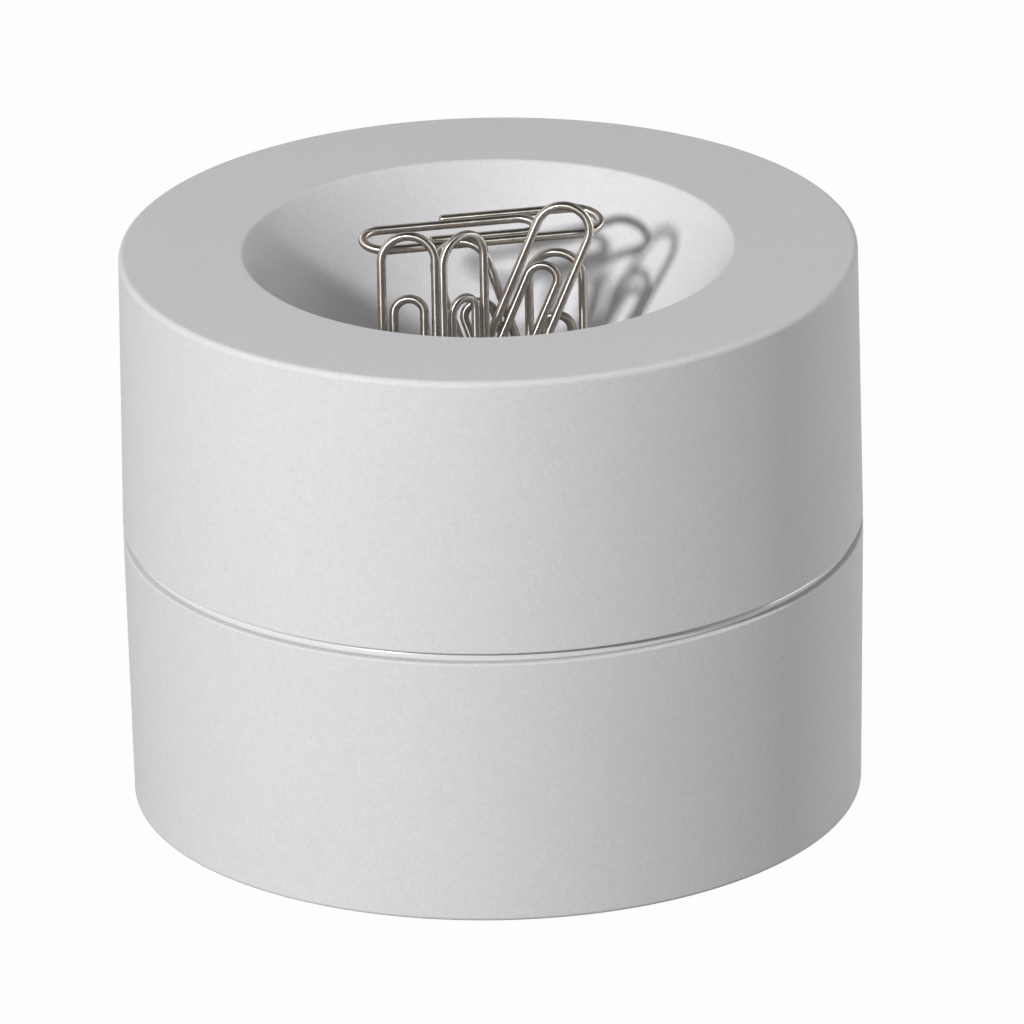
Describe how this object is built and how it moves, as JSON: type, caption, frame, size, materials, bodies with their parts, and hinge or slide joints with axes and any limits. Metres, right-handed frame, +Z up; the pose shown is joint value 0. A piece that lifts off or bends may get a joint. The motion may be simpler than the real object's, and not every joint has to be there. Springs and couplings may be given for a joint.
{
  "type": "magnetic paper clip holder",
  "caption": "Round desk holder with a bowl in its flat top, a magnet below that keeps wire paper clips standing, and a head that lifts off a weighted base.",
  "frame": {"origin": "on the desk, under the middle of the holder", "axes": "+Z up along the holder's axis, -Y towards the viewer, +X to the viewer's right"},
  "size_m": [0.073, 0.073, 0.0618],
  "materials": {
    "body_plastic": "fine satin texture, light grey",
    "ring_plastic": "polished, light grey",
    "inner_plastic": "plain moulded, mid grey",
    "ferrite": "ground, charcoal",
    "keeper_steel": "zinc plated",
    "ballast_steel": "turned, lightly oiled",
    "screw_steel": "zinc plated",
    "pad_rubber": "matt, dark grey",
    "clip_wire": "bright nickel plate"
  },
  "bodies": {
    "base": {"base_shell": "body_plastic", "coupling_ring": "ring_plastic", "ballast_disc": "ballast_steel", "base_plate": "inner_plastic", "plate_screws": "screw_steel", "foot_1": "pad_rubber", "foot_2": "pad_rubber", "foot_3": "pad_rubber", "foot_4": "pad_rubber"},
    "head": {"head_shell": "body_plastic", "magnet": "ferrite", "keeper_plate": "keeper_steel", "magnet_cap": "inner_plastic", "cap_screws": "screw_steel"},
    "clip_flat": {"paper_clip_flat": "clip_wire"},
    "clip_left": {"paper_clip_left": "clip_wire"},
    "clip_middle": {"paper_clip_middle": "clip_wire"},
    "clip_right": {"paper_clip_right": "clip_wire"},
    "clip_front": {"paper_clip_front": "clip_wire"},
    "clip_leaning": {"paper_clip_leaning": "clip_wire"}
  },
  "joints": [
    {"name": "head_lift", "type": "slide", "parent": "base", "child": "head", "axis": [0, 0, 1], "range_m": [0, 0.045]},
    {"name": "clip_flat_draw", "type": "slide", "parent": "head", "child": "clip_flat", "axis": [0, 0, 1], "range_m": [0, 0.034]},
    {"name": "clip_left_draw", "type": "slide", "parent": "head", "child": "clip_left", "axis": [0, 0, 1], "range_m": [0, 0.034]},
    {"name": "clip_middle_draw", "type": "slide", "parent": "head", "child": "clip_middle", "axis": [-0.309, 0, 0.9511], "range_m": [0, 0.034]},
    {"name": "clip_right_draw", "type": "slide", "parent": "head", "child": "clip_right", "axis": [0, 0, 1], "range_m": [0, 0.034]},
    {"name": "clip_front_draw", "type": "slide", "parent": "head", "child": "clip_front", "axis": [0, 0, 1], "range_m": [0, 0.034]},
    {"name": "clip_leaning_draw", "type": "slide", "parent": "head", "child": "clip_leaning", "axis": [0.3811, 0, 0.9245], "range_m": [0, 0.034]}
  ]
}
